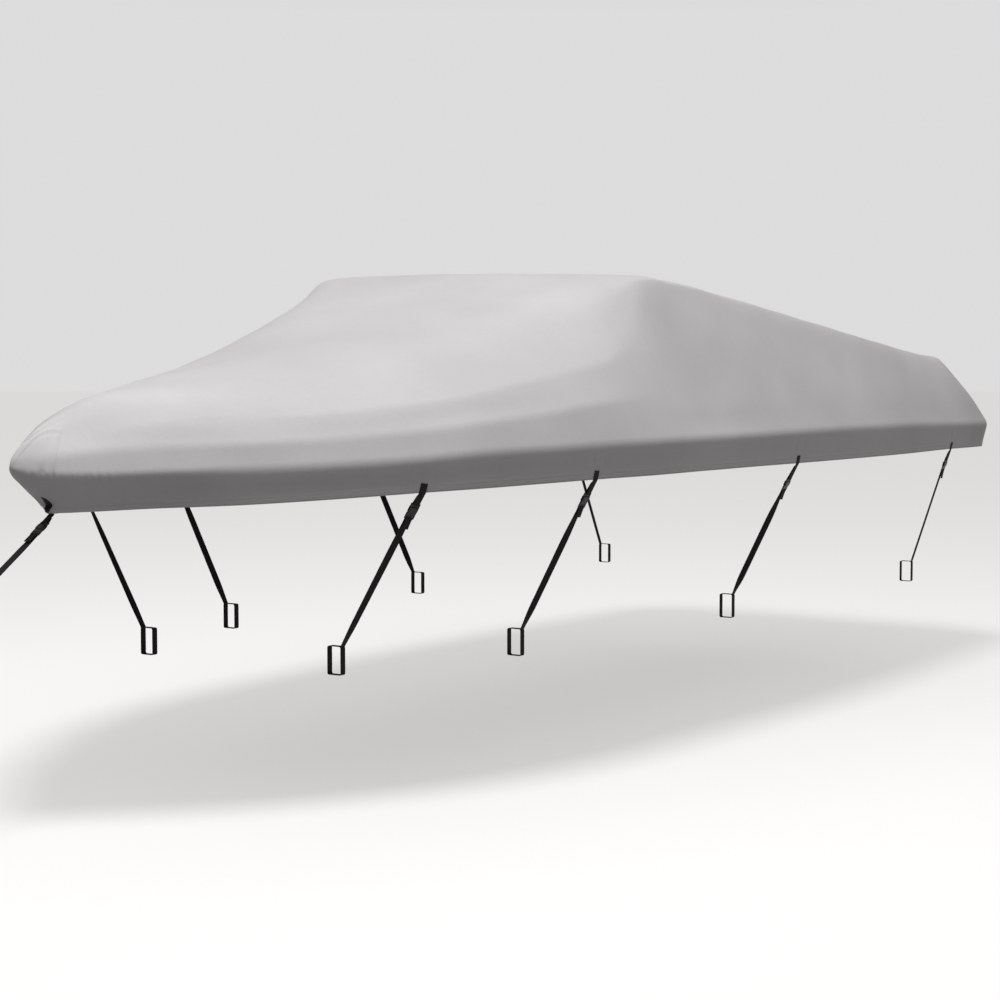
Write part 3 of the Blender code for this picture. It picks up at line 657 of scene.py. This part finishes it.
def woven_polyester():
    """Solution-dyed polyester, plain weave, calendered outside: matt, with a faint sheen at a
    glancing view.
    Thicker threads show as short streaks both ways, the widths it was woven in as faint stripes up
    the sides, and blooms of painted light and shade lighten and darken it.  The rows of stitches
    are painted darker, as painted shade in their grooves."""
    made, tree, shader = new_material("woven_polyester")
    uv = node(tree, "UVMap", uv_map="cloth")
    run_at, girth_at = node(tree, "SeparateXYZ", uv).node.outputs[:2]
    cloudy = node(tree, "TexNoise", node(tree, "TexCoord", output="Object"), Scale=1.6, Detail=3.0)
    tint = shaded(node(tree, "ValToRGB", cloudy), (0.35, linear("#bab7b8")),
                  (0.65, linear("#c1bebf")))
    # Real threads lie 0.5 mm apart, too fine to show: these streaks are 4 mm wide
    threads = node(tree, "ADD", streaks(tree, uv, 250.0, 40.0), streaks(tree, uv, 40.0, 250.0))
    widths = streaks(tree, uv, 42.0, 2.5, 1.0)
    # The weave's uneven threads and widths, times the painted light and shade of the blooms
    pale = node(tree, "MULTIPLY", weighted(tree, 0.90, (threads, 0.07), (widths, 0.03)),
                node(tree, "Attribute", attribute_name="painted_tone", output="Fac"))
    sewn = 0.0
    for line, place in STITCH_ROWS.values():
        across = girth_at if line == "girth" else node(
            tree, "Attribute", attribute_name=line, output="Fac")
        row = stitch_row(tree, node(tree, "SUBTRACT", across, place),
                         girth_at if line == "lower_seam" else run_at)
        sewn = node(tree, "MAXIMUM", sewn, row)
    # The stitches are painted darker than the cloth: painted shade in their grooves
    colour = node(tree, "Mix", sewn, data_type="RGBA", output=2)
    feed(colour.node, {6: node(tree, "VectorMath", tint, operation="SCALE", Scale=pale),
                       7: linear("#a5a2a3")})
    weave = node(tree, "TexChecker", node(tree, "Mapping", uv, Scale=(400.0, 400.0, 1.0)),
                 Scale=1.0, output=1)
    height = weighted(tree, 0.0, (weave, 0.05), (threads, 0.16),
                      (streaks(tree, uv, 34.0, 22.0, 3.0), 0.7), (sewn, -0.25))
    feed(shader, {"Base Color": colour, "Roughness": 0.82, "Specular IOR Level": 0.3,
                  "Sheen Weight": 0.04,
                  "Normal": node(tree, "Bump", Height=height, Strength=1.0, Distance=0.0007)})
    return made


cloth_finish = woven_polyester()
print("finish:", cloth_finish.name, "with", len(STITCH_ROWS), "rows of stitches")

# %% Polypropylene webbing
BOX_HALF, BOX_TALL = 0.0085, 0.0105         # the sewn box, across and along the webbing
RIB, COLUMN = 0.0024, 0.0042


def black_webbing():
    """Woven polypropylene webbing: near black and dull, its ribs set off by half a rib in each
    second column, with painted shade that darkens their grooves.  Where two layers are joined, a
    sewn box with a cross is painted lighter, a painted sheen on its thread; it lies round the place
    where the second coordinate is 0."""
    made, tree, shader = new_material("woven_polypropylene")
    uv = node(tree, "UVMap", uv_map="cloth")
    across, along_it = node(tree, "SeparateXYZ", uv).node.outputs[:2]
    column = node(tree, "FRACT", node(tree, "DIVIDE", across, COLUMN))
    second = node(tree, "GREATER_THAN", column, 0.5)
    rib = node(tree, "SINE", weighted(tree, 0.0, (along_it, 2 * math.pi / RIB), (second, math.pi)))
    x = node(tree, "DIVIDE", node(tree, "ABSOLUTE", across), BOX_HALF)
    y = node(tree, "DIVIDE", node(tree, "ABSOLUTE", along_it), BOX_TALL)
    reach = node(tree, "MAXIMUM", x, y)
    cross = node(tree, "LESS_THAN", node(tree, "ABSOLUTE", node(tree, "SUBTRACT", x, y)), 0.10)
    sewn = node(tree, "MAXIMUM", node(tree, "GREATER_THAN", reach, 0.93), cross)
    sewn = node(tree, "MULTIPLY", node(tree, "LESS_THAN", reach, 1.05), sewn)
    # Painted shade: the ribs' grooves are darker than their tops
    tint = shaded(node(tree, "ValToRGB", weighted(tree, 0.5, (rib, 0.5))),
                  (0.0, linear("#0e0c0d")), (1.0, linear("#1d1a1b")))
    # The sewn box's thread is painted lighter: a painted sheen
    colour = node(tree, "Mix", sewn, data_type="RGBA", output=2)
    feed(colour.node, {6: tint, 7: linear("#353133")})
    height = node(tree, "ADD", rib, sewn)
    feed(shader, {"Base Color": colour, "Roughness": 0.85, "Specular IOR Level": 0.25,
                  "Normal": node(tree, "Bump", Height=height, Strength=0.5, Distance=0.0002)})
    return made


webbing_finish = black_webbing()
print("finish:", webbing_finish.name)


# %% Moulded acetal
def moulded_acetal():
    """Injection-moulded acetal: black, smooth and waxy, with a soft broad highlight."""
    made, tree, shader = new_material("moulded_acetal")
    grain = node(tree, "TexNoise", node(tree, "TexCoord", output="Object"), Scale=900.0, Detail=2.0)
    feed(shader, {"Base Color": linear("#110f10"), "Roughness": 0.36, "Specular IOR Level": 0.3,
                  "IOR": 1.48,
                  "Normal": node(tree, "Bump", Height=grain, Strength=0.15, Distance=0.0002)})
    return made


acetal_finish = moulded_acetal()
print("finish:", acetal_finish.name)

# %% [markdown]
# ## The tie-down straps
#
# Each strap is one length of 25 mm webbing.  Its free end comes up in front of the buckle's plug,
# goes through the plug's slot, runs down behind it to the trailer's rail, and ends in a sewn loop.
# Webbing bends easily one way and not at all the other, so it is swept flat along a path.

# %% Webbing swept along a path
RING_POINTS, SQUARENESS = 20, 0.28


def distances(path):
    """How far each point lies along the path."""
    return np.concatenate(([0], np.cumsum(np.linalg.norm(np.diff(path, axis=0), axis=1))))


def directions(path):
    """Unit tangent at each point: the sum of the unit steps before and after it."""
    step = unit(np.diff(path, axis=0))
    back, ahead = np.vstack((step[:1], step)), np.vstack((step, step[-1:]))
    return unit(back + ahead), back


def band(path, across):
    """Rings of a flat band with rounded edges: each ring is a superellipse of the band's width and
    thickness, set square to the path, and widened at a bend to keep the band's thickness."""
    tangent, back = directions(path)
    across = unit(across - tangent * (across * tangent).sum(axis=1, keepdims=True))
    out = np.cross(tangent, across)
    mitre = 1 / np.clip((tangent * back).sum(axis=1, keepdims=True), 0.5, 1)
    turn = np.linspace(0, 2 * math.pi, RING_POINTS, endpoint=False) + math.pi / RING_POINTS
    side = np.sign(np.cos(turn)) * np.abs(np.cos(turn)) ** SQUARENESS
    face = np.sign(np.sin(turn)) * np.abs(np.sin(turn)) ** SQUARENESS
    return (path[:, None] + (across * WEBBING_WIDTH / 2)[:, None] * side[None, :, None]
            + (out * mitre * WEBBING / 2)[:, None] * face[None, :, None]), side


def close_ends(shape):
    bmesh.ops.holes_fill(shape, edges=shape.edges)
    bmesh.ops.recalc_face_normals(shape, faces=shape.faces)


def band_mesh(path, across, box_at):
    """The rings joined into a tube, its ends closed, with a UV map of metres across and along; the
    sewn box lies box_at along it."""
    rings, side = band(path, across)
    uv = np.stack(np.broadcast_arrays(side[None, :] * WEBBING_WIDTH / 2,
                                      distances(path)[:, None] - box_at), axis=-1)
    return edited(make_mesh(rings, uv, closed=True), close_ends)


def resampled(path, across, step):
    """Points every "step" along a path, with its corners kept."""
    length = distances(path)
    at = np.unique(np.round(np.concatenate((length, np.arange(0, length[-1], step))), 6))
    at = at[np.concatenate(([True], np.diff(at) > 2e-4))]
    return [np.stack([np.interp(at, length, of[:, k]) for k in range(3)], axis=-1)
            for of in (path, across)]


print("webbing:", WEBBING_WIDTH * 1000, "mm wide")

# %% Where each tie-down sits
TAB_REACH, TAB_RETURN = 0.020, 0.012
TAIL, TAIL_LIFT = 0.036, 0.004
RAIL_WIDTH, RAIL_DEPTH, RAIL_TOP, RAIL_SLACK = 0.050, 0.090, 0.500, 0.002
LOOP_RADIUS = 0.006
BOW_DIRECTION, BOW_DROP, BOW_REACH, POST = (-0.8, 0.0, -0.6), 0.066, 0.33, 0.050
BOW_SEWN, BOW_BEND, BOW_LIFT = 0.014, 0.003, 0.001
FRAME_TOP, FRAME_THICK, SOCKET_BAR = 0.0340, 0.0046, 0.0300
PLUG_THICK, PLUG_LENGTH, PLUG_BAR = 0.0050, 0.0240, -0.0200
# From a buckle's or the cloth's face, and from a rail's, to the middle of the webbing on it
ON_FACE, ON_RAIL = SEAT + WEBBING / 2, RAIL_SLACK + WEBBING / 2


def to_world(axes, points):
    """Buckle coordinates (across, out, up) to part coordinates."""
    origin, across, out, up = axes
    return origin + np.asarray(points, float) @ np.stack((across, out, up))


def buckle_axes(hem_point, pull, across, drop):
    """Axes at the line where the buckle's halves meet; the tab's front leg leaves the hem."""
    up = -unit(pull)
    across = unit(across - up * np.dot(across, up))
    out = np.cross(up, across)
    return hem_point - up * drop - out * (FRAME_THICK / 2 + ON_FACE), across, out, up


def round_bar(half, edge, way):
    """Half turn of the band round a bar, from its front to its back, past the bar's edge."""
    turn = np.linspace(0, math.pi / 2, 5)
    front = np.stack((0 * turn, half + ON_FACE * np.cos(turn),
                      edge + way * ON_FACE * np.sin(turn)), axis=-1)
    return np.vstack((front, front[::-1] * (1, -1, 1)))


def tab_path(axes, drop):
    """From the hem down to the socket's top bar, round it and back up behind."""
    half = FRAME_THICK / 2
    bend = np.vstack(([(0, half + ON_FACE, FRAME_TOP)], round_bar(half, SOCKET_BAR, -1),
                      [(0, -half - ON_FACE, FRAME_TOP),
                       (0, half - ON_FACE - SEAT, drop - TAB_RETURN)]))
    return to_world(axes, bend)


def tail_path(axes, lift=TAIL_LIFT):
    """Free end, up the plug's front, through its slot and down its back."""
    half = PLUG_THICK / 2
    down = np.linspace(TAIL, 0, 7)
    free = np.stack((0 * down, half + ON_FACE + lift * (down / TAIL) ** 1.5,
                     -PLUG_LENGTH - down), axis=-1)
    return to_world(axes, np.vstack((free, round_bar(half, PLUG_BAR, 1),
                                     [(0, -half - ON_FACE, -PLUG_LENGTH)])))


def loop_path(corner, inwards, width, depth):
    """Once round a rail, from the middle of its top outer bend down, under, up and back, so that
    the band's end lies on its beginning."""
    inwards, down = np.array(inwards, float), np.array([0.0, 0.0, -1.0])
    point, first, second = corner, -inwards, -down
    turn = np.linspace(0, math.pi / 2, 7)[:, None]
    path = []
    for reach in (depth, width, depth, width):
        centre = point - (first + second) * LOOP_RADIUS
        path.append(centre + LOOP_RADIUS * (second * np.cos(turn) + first * np.sin(turn)))
        first, second = -second, first
        point = point + first * reach
    path = np.vstack(path)
    return np.vstack((path[3:], path[:3]))


def side_axes(number, side):
    """The hem's point, its directions and the buckle's axes at one station of one side."""
    station, rail_y, drop = STRAPS[number]
    mirror = np.array([1.0, -side, 1.0])
    near = station_run([station - TAB_REACH, station, station + TAB_REACH])
    hem, edge = (side_level(level, near) * mirror - ORIGIN for level in ("hem", "edge"))
    ahead, rise = unit(hem[2] - hem[0]), unit(edge[1] - hem[1])
    across = ahead * side
    hem_point = hem[1] + np.cross(rise, across) * ON_FACE
    corner = np.array([station, side * (rail_y + ON_RAIL), RAIL_TOP + ON_RAIL]) - ORIGIN
    return hem_point, rise, across, corner, buckle_axes(hem_point, corner - hem_point, across, drop)


# %% Side straps
RUN_CELLS, STRAP_STEP, TAB_STEP, LOOP_BOX = 40, 0.008, 0.004, 0.016
TWISTS = {"1": 15.0, "2": 29.0, "3": 45.0, "4": 0.0, "bow": -9.0}       # degrees
TWIST_IN, TWIST_OUT = 0.3, 0.2              # shares of the run over which it comes and goes


def webbing_piece(cad_name, path, widths, step, box_at):
    """Sweeps a tab or a strap along its path; a box_at below 0 counts from the path's end."""
    path, widths = resampled(path, widths, step)
    box_at += distances(path)[-1] * (box_at < 0)
    piece = dress("webbing_" + cad_name, band_mesh(path, widths, box_at), webbing_finish, cad_name)
    return piece, path


def strap_piece(name, axes, start, loop, loop_across):
    """Tail, run and loop as one band; its width turns from the buckle's to the rail's on the run.

    Webbing is seldom laid quite flat: the run also twists by some degrees below the buckle, and
    back above the rail.  Turned by an angle a about the pull, a width w becomes
    w cos a + (pull x w) sin a.
    """
    share = np.linspace(0, 1, RUN_CELLS + 1)[1:-1, None]
    pull = loop[0] - start[-1]
    twisted = ease(share / TWIST_IN) * (1 - ease((share - 1 + TWIST_OUT) / TWIST_OUT))
    angle = math.radians(TWISTS[name.split("_")[-1]]) * twisted
    flat = axes[1] * (1 - share) + loop_across * share
    turned = flat * np.cos(angle) + np.cross(unit(pull), flat) * np.sin(angle)
    strap, path = webbing_piece(
        "strap_" + name, np.vstack((start, start[-1] + share * pull, loop)),
        np.vstack((0 * start + axes[1], turned, 0 * loop + loop_across)),
        STRAP_STEP, -LOOP_BOX - distances(loop)[-1])


axes_of = {}
for number in STRAPS:
    for side, label in ((-1, "port_"), (1, "starboard_")):
        hem_point, rise, across, corner, axes = side_axes(number, side)
        loop = loop_path(corner, (0, -side, 0), RAIL_WIDTH + 2 * ON_RAIL, RAIL_DEPTH + 2 * ON_RAIL)
        strap_piece(label + number, axes, tail_path(axes), loop, np.array([side, 0.0, 0.0]))
        bend = tab_path(axes, STRAPS[number][2])
        path = np.vstack((hem_point + rise * TAB_RISE, hem_point, bend))
        widths = np.vstack((across, across, 0 * bend + axes[1]))
        webbing_piece("tab_" + label + number, path, widths, TAB_STEP, TAB_RISE / 2)
        axes_of[label + number] = axes

# %% Bow strap
up_stem = unit(skin[0, 8] - skin[0, 0])     # the stem is straight from the hem to the gunwale
hem_corner = skin[0, 0]
bow_across = np.array([0.0, 1.0, 0.0])
inside = np.cross(bow_across, up_stem)
CORNER_ROW = 0.025          # where the CAD grid's first section aft of the stem stands
to_port = side_level("hem", station_run([CORNER_ROW]))[0] - ORIGIN - hem_corner
spread = abs(to_port[1]) / (to_port @ inside)
cloth_and_seat = (CLOTH + SEAT) * math.hypot(1, spread)
depth = (WEBBING_WIDTH / 2 + cloth_and_seat) / spread + WEBBING / 2
sewn_end = hem_corner + inside * depth
sewn_end = sewn_end - up_stem * (sewn_end[2] - hem_corner[2]) / up_stem[2]
pull = unit(BOW_DIRECTION)
turn = np.linspace(0, math.acos(-up_stem @ pull), 9)[:, None]
bend = sewn_end - inside * BOW_BEND + BOW_BEND * (inside * np.cos(turn) - up_stem * np.sin(turn))
bow_axes = buckle_axes(bend[-1], pull, bow_across, BOW_DROP)
loop = loop_path(bend[-1] + pull * BOW_REACH, (-1, 0, 0), POST + 2 * ON_RAIL, POST + 2 * ON_RAIL)
strap_piece("bow", bow_axes, tail_path(bow_axes, BOW_LIFT), loop, bow_across)
tab = np.vstack((sewn_end + up_stem * BOW_SEWN, bend, tab_path(bow_axes, BOW_DROP)))
webbing_piece("tab_bow", tab, 0 * tab + bow_across, TAB_STEP, BOW_SEWN / 2)
axes_of["bow"] = bow_axes

# %% Buckle halves
# Each half is a copy of the CAD's.  A bar across its slot keeps the webbing from rattling: its
# lowest and highest corners, across, out and up
SLOT_BARS = {"socket_": ((-0.0142, -0.0016, 0.0222), (0.0142, 0.0016, 0.0266)),
             "plug_": ((-0.0142, -0.0018, -0.0160), (0.0142, 0.0018, -0.0118))}
EASED = 0.0004


def buckle_half(kind, name, axes):
    """The CAD half with its triangles joined at their corners, its bar, and its edges eased."""
    shape = bmesh.new()                     # the CAD's own mesh is only read
    shape.from_mesh(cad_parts[kind + name].data)
    weld(shape, 1e-6)
    low, high = np.array(SLOT_BARS[kind])
    turn = Matrix((axes[1], axes[2], axes[3])).transposed().to_4x4()
    turn.translation = Vector(to_world(axes, [(low + high) / 2])[0])
    sized = Matrix.Diagonal((*(high - low), 1.0))
    bmesh.ops.create_cube(shape, size=1.0, matrix=turn @ sized)
    mesh = bpy.data.meshes.new("half")
    shape.to_mesh(mesh)
    shape.free()
    piece = dress("moulded_" + kind + name, mesh, acetal_finish, kind + name)
    eased = piece.modifiers.new("eased", "BEVEL")
    eased.width, eased.segments, eased.limit_method = EASED, 2, "ANGLE"
    eased.angle_limit = math.radians(35)


for name, axes in axes_of.items():
    for kind in SLOT_BARS:
        buckle_half(kind, name, axes)
print("buckle halves:", 2 * len(axes_of))

# %% Patch over the notch
# In cloth coordinates: the girth of its foot and top, its half-breadth, and where it is widest
PATCH_FOOT, PATCH_TOP, PATCH_HALF, PATCH_WIDEST = 0.004, 0.078, 0.031, 0.62
PATCH_LIFT, PATCH_MIDDLE, PATCH_THICK = 0.001, 0.4, 1.1     # the last two in lifts


def on_cloth(grid, run_at, girth_at):
    """Points of a grid at places on the cloth's first leg, each the blend of its four neighbours.
    The run picks the row, and the girth's share of the straight leg the column; a negative run is
    on the starboard side."""
    straight = HEM_COLUMNS.size
    leg = np.interp(np.abs(run_at), run_line, girth[:, straight])
    row = np.interp(np.abs(run_at), run_line, np.arange(run_line.size))
    column = np.interp(girth_at / leg, np.concatenate(([0], HEM_COLUMNS)), np.arange(straight + 1))
    i, j = np.minimum(row.astype(int), run_line.size - 2), np.minimum(column.astype(int), straight)
    f, g = (row - i)[..., None], (column - j)[..., None]
    point = ((1 - f) * ((1 - g) * grid[i, j] + g * grid[i, j + 1])
             + f * ((1 - g) * grid[i + 1, j] + g * grid[i + 1, j + 1]))
    point[..., 1] *= np.where(run_at < 0, -1.0, 1.0)
    return point


def patch_rings(rings=40, columns=32):
    """A closed flat pad folded round the stem, which looks like a crescent from the side.  Its
    half-breadth is a sine of the height, skewed so that it is widest below the middle, and each
    ring is a flat ellipse, half of it sunk in the cloth."""
    lifted = pushed(dressed, np.full_like(girth, PATCH_LIFT))
    lifted[0] = dressed[0] + [-PATCH_LIFT, 0.0, 0.0]
    height = np.linspace(0, 1, rings)[:, None]
    skewed = height ** (math.log(0.5) / math.log(1 - PATCH_WIDEST))
    breadth = PATCH_HALF * np.sin(math.pi * skewed) ** 0.8
    around = np.linspace(0, 2 * math.pi, columns, endpoint=False)[None, :]
    run_at = breadth * np.cos(around)
    girth_at = PATCH_FOOT + (PATCH_TOP - PATCH_FOOT) * height + 0 * around
    swell = np.sign(np.sin(around)) * np.abs(np.sin(around)) ** 0.5
    thick = PATCH_MIDDLE + PATCH_THICK * swell
    base = on_cloth(dressed, run_at, girth_at)
    out = on_cloth(lifted, run_at, girth_at) - base
    uv = np.stack((run_at, girth_at + 0.2), axis=-1)
    return base + out * thick[..., None], uv


def face_outwards(shape):
    if shape.calc_volume(signed=True) < 0:
        bmesh.ops.reverse_faces(shape, faces=shape.faces)


rings, uv = patch_rings()
mesh = edited(make_mesh(rings, uv, closed=True), weld, face_outwards)
dress("webbing_crescent", mesh, webbing_finish, "crescent_bow")
print("patch:", len(mesh.polygons), "faces")

# %% [markdown]
# ## The canopy
#
# The grid becomes one mesh, open along the hem, and gets the cloth's thickness inwards.

# %% Canopy mesh
SHELL, FAR_OFF = 0.0015, 1.0                # the shell's thickness, and a shift that hides a seam
# The painted light and shade goes to the finish as a mark on each point
marks = {"painted_tone": painted_tone, "upper_seam": upper_seam + FAR_OFF * (run > 0.19),
         "lower_seam": lower_seam + FAR_OFF * ((above > 0.16) | (above < -0.01))}
mesh = edited(make_mesh(dressed, np.stack((run, girth), axis=-1), marks), weld)
canopy = dress("canopy_cloth", mesh, cloth_finish, "canopy")
thick = canopy.modifiers.new("thickness", "SOLIDIFY")
thick.thickness, thick.offset, thick.use_even_offset = SHELL, -1.0, True
print("canopy faces:", len(canopy.data.polygons))

# %% [markdown]
# ## Floor and light
#
# A studio could be a curved sweep of paper and several lamps.  A plain disc and a smooth sky are
# enough here, and look the same from all sides.  The sky is bright above and dim below, as it is
# over a dark ground, which leaves the tucked-in band in shade, and painted shade in the cloth's
# colour darkens the band further.

# %% Floor
def floor_finish():
    made, tree, shader = new_material("pale_floor")
    feed(shader, {"Base Color": linear("#b4b3b2"), "Roughness": 0.9, "Specular IOR Level": 0.0,
                  "Emission Color": linear("#fffefc"), "Emission Strength": 0.50})
    return made


def disc(radius, rings, spokes):
    """Rings of points at growing radii, from a tiny one in the middle."""
    r = radius * np.linspace(0.0005, 1, rings)[:, None] ** 2
    a = np.linspace(0, 2 * math.pi, spokes, endpoint=False)
    return np.stack((r * np.cos(a), r * np.sin(a), np.full((rings, spokes), GROUND)), axis=-1)


floor = add_piece("floor", make_mesh(disc(radius=120.0, rings=12, spokes=48), closed=True),
                  floor_finish())
floor.visible_diffuse = False
print("floor at", round(GROUND, 3), "m")

# %% Light
# How bright the sky is at each height: the sine of the height, and the brightness there
SKY = {"below": (-1.0, 0.54), "low_below": (-0.30, 0.04), "under_horizon": (-0.06, 0.02),
       "horizon": (-0.035, 0.72), "low": (0.17, 0.72), "haze": (0.29, 0.04), "middle": (0.46, 0.04),
       "high": (0.75, 0.95), "zenith": (1.0, 0.10)}
KEY_PLACE, KEY_TARGET = Vector((-3.52, -2.03, 8.63)), Vector((0.0, 0.0, -0.5))
KEY_POWER, KEY_BREADTH = 813.0, 3.4


def studio_sky(stops):
    """A sky whose brightness depends on height alone, through a ramp with a stop for each entry."""
    world = bpy.data.worlds.new("studio")
    world.use_nodes = True
    tree = world.node_tree
    height = node(tree, "SeparateXYZ", node(tree, "TexCoord", output="Generated"), output=2)
    ramp = node(tree, "ValToRGB", node(tree, "MapRange", height, -1.0, 1.0))
    ramp.node.color_ramp.interpolation = "EASE"
    shaded(ramp, *(((sine + 1) / 2, (level, level, level * 1.01, 1.0))
                   for sine, level in stops.values()))
    feed(tree.nodes["Background"], {"Color": ramp})
    return world


bpy.context.scene.world = studio_sky(SKY)
key = bpy.data.lights.new("key", "AREA")
key.shape, key.size, key.energy = "DISK", KEY_BREADTH, KEY_POWER
key_lamp = bpy.data.objects.new("key", key)
key_lamp.location = KEY_PLACE
key_lamp.rotation_euler = (KEY_TARGET - KEY_PLACE).to_track_quat("-Z", "Y").to_euler()
bpy.context.scene.collection.objects.link(key_lamp)
bpy.context.scene.view_settings.view_transform = "Standard"
print("light: sky with", len(SKY), "stops, and one soft key")
